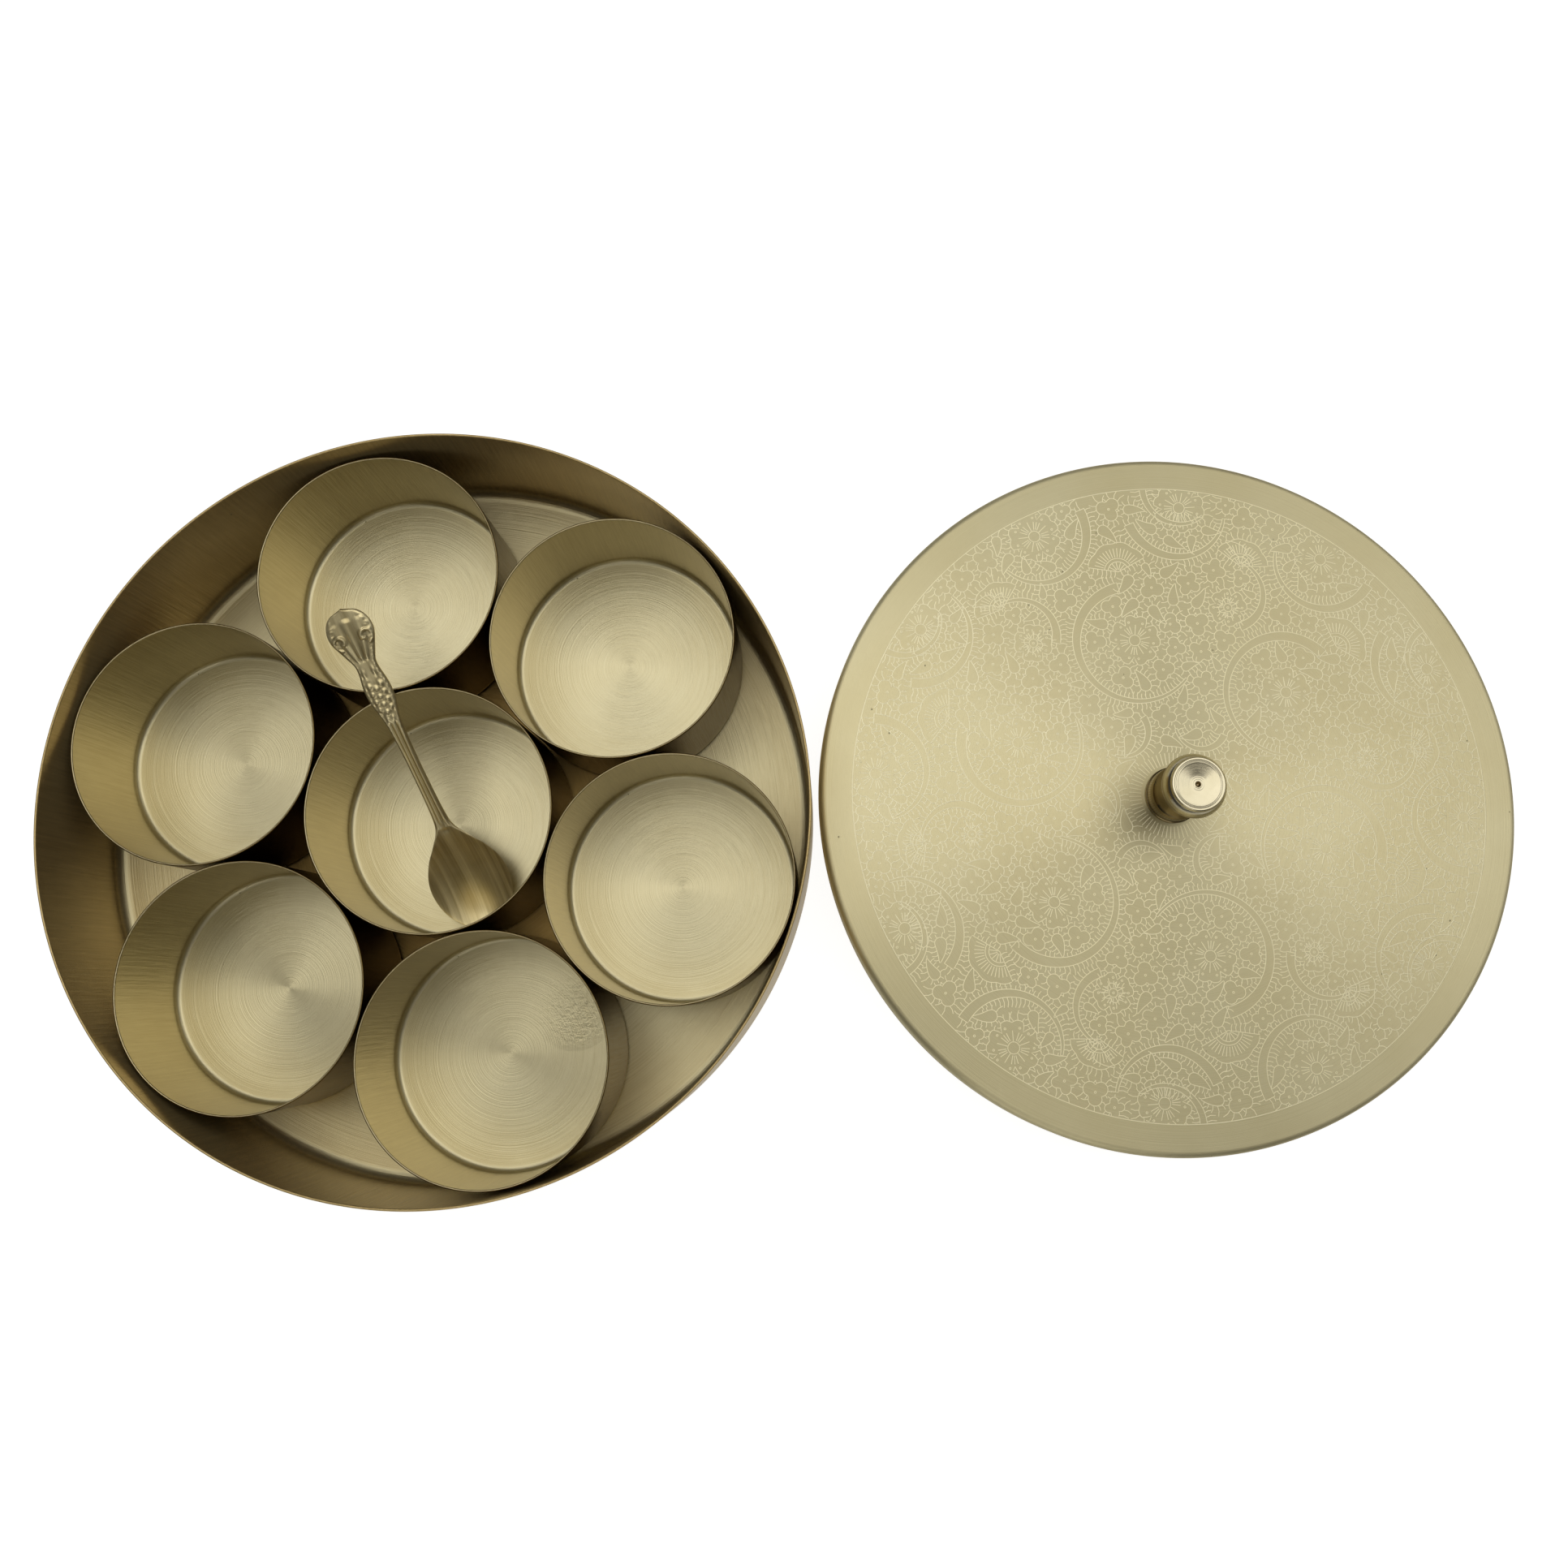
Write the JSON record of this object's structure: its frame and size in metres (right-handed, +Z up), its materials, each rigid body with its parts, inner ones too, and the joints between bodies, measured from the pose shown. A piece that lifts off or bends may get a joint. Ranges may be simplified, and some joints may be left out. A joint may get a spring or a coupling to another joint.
{
  "type": "spice box",
  "caption": "Round brass spice box, open, with a ring of loose cups round a centre cup, a small ornate spoon, and a flat etched drop-in lid with a turned knob lying beside it.",
  "frame": {"origin": "centre of the round face that the box rests on", "axes": "+Z up, +X from the box's axis towards the centre of the lid that lies beside it"},
  "size_m": [0.4637, 0.236, 0.0594],
  "materials": {
    "box_brass": "brushed",
    "cup_brass": "brushed, turned",
    "lid_brass": "satin, turned, etched with a floral pattern",
    "knob_brass": "polished",
    "spoon_brass": "cast, hand finished",
    "steel": "plain"
  },
  "bodies": {
    "box": {"box": "box_brass"},
    "lid": {"lid": "lid_brass", "knob": "knob_brass", "knob_stud": "steel", "knob_washer": "steel", "knob_nut": "steel"},
    "centre_cup": {"centre_cup": "cup_brass"},
    "ring_cup_1": {"ring_cup_1": "cup_brass"},
    "ring_cup_2": {"ring_cup_2": "cup_brass"},
    "ring_cup_3": {"ring_cup_3": "cup_brass"},
    "ring_cup_4": {"ring_cup_4": "cup_brass"},
    "ring_cup_5": {"ring_cup_5": "cup_brass"},
    "ring_cup_6": {"ring_cup_6": "cup_brass"},
    "spoon": {"spoon": "spoon_brass"}
  },
  "joints": [
    {"name": "lid_lift", "type": "slide", "parent": "box", "child": "lid", "axis": [0, 0, 1], "range_m": [0, 0.12]},
    {"name": "centre_cup_lift", "type": "slide", "parent": "box", "child": "centre_cup", "axis": [0, 0, 1], "range_m": [0, 0.06]},
    {"name": "ring_cup_1_lift", "type": "slide", "parent": "box", "child": "ring_cup_1", "axis": [0, 0, 1], "range_m": [0, 0.06]},
    {"name": "ring_cup_2_lift", "type": "slide", "parent": "box", "child": "ring_cup_2", "axis": [0, 0, 1], "range_m": [0, 0.06]},
    {"name": "ring_cup_3_lift", "type": "slide", "parent": "box", "child": "ring_cup_3", "axis": [0, 0, 1], "range_m": [0, 0.06]},
    {"name": "ring_cup_4_lift", "type": "slide", "parent": "box", "child": "ring_cup_4", "axis": [0, 0, 1], "range_m": [0, 0.06]},
    {"name": "ring_cup_5_lift", "type": "slide", "parent": "box", "child": "ring_cup_5", "axis": [0, 0, 1], "range_m": [0, 0.06]},
    {"name": "ring_cup_6_lift", "type": "slide", "parent": "box", "child": "ring_cup_6", "axis": [0, 0, 1], "range_m": [0, 0.06]},
    {"name": "spoon_lift", "type": "slide", "parent": "centre_cup", "child": "spoon", "axis": [0, 0, 1], "range_m": [0, 0.09]}
  ],
  "couplings": [
    {"joint": "ring_cup_2_lift", "follows": "spoon_lift", "ratio": 0.66}
  ]
}
